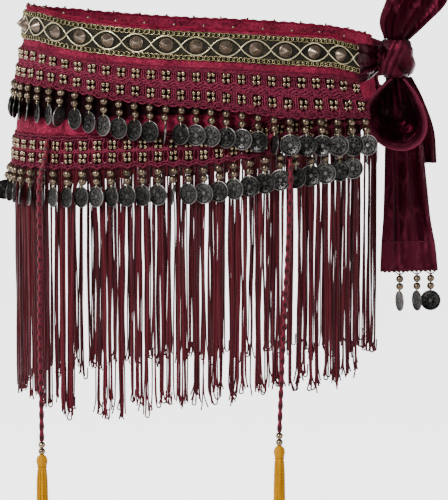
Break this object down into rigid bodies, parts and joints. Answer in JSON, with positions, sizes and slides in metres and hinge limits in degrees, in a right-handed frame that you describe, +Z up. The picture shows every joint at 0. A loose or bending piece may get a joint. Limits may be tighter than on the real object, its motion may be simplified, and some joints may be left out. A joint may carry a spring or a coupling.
{
  "type": "belly dance hip scarf",
  "caption": "Burgundy velvet hip scarf tied at one side, with studded metal braid, tiered crochet net, bead and coin dangles, long fringe, bow loops and tasselled cords.",
  "frame": {"origin": "middle of the hips that hold the scarf, on the upright axis of the hip section, level with the middle of the waist band", "axes": "+Z up along the wearer's axis, -Y the front, +X the side with the knot and the bow"},
  "size_m": [0.4418, 0.2954, 0.5932],
  "materials": {
    "velvet": "cut-pile velvet, deep burgundy",
    "satin": "soft satin-backed velvet, burgundy, slight sheen",
    "crochet": "crocheted yarn, burgundy",
    "fringe": "twisted rayon yarn, burgundy",
    "braid": "antique gold wire braid on dark ground",
    "coin": "blackened silver, worn high spots",
    "brass": "antique brass, rubbed",
    "tassel": "golden yellow yarn"
  },
  "bodies": {
    "root": {"velvet_yoke": "velvet", "metal_braid": "braid", "upper_net_front": "crochet", "upper_net_back": "crochet", "lower_net_front": "crochet", "lower_net_back": "crochet", "upper_coins_front": "coin", "upper_coins_back": "coin", "lower_coins_front": "coin", "lower_coins_back": "coin", "fringe_1": "fringe", "fringe_2": "fringe", "fringe_3": "fringe", "fringe_4": "fringe", "fringe_5": "fringe", "fringe_6": "fringe", "tie_run_front": "satin", "tie_run_back": "satin", "knot": "satin", "bow_loop_upper": "satin", "bow_loop_lower": "satin", "tail_long": "satin", "tail_short": "satin", "tail_coins": "coin", "cord_left": "fringe", "cord_right": "fringe", "cord_beads_left": "brass", "cord_beads_right": "brass", "tassel_left": "tassel", "tassel_right": "tassel"}
  },
  "joints": []
}
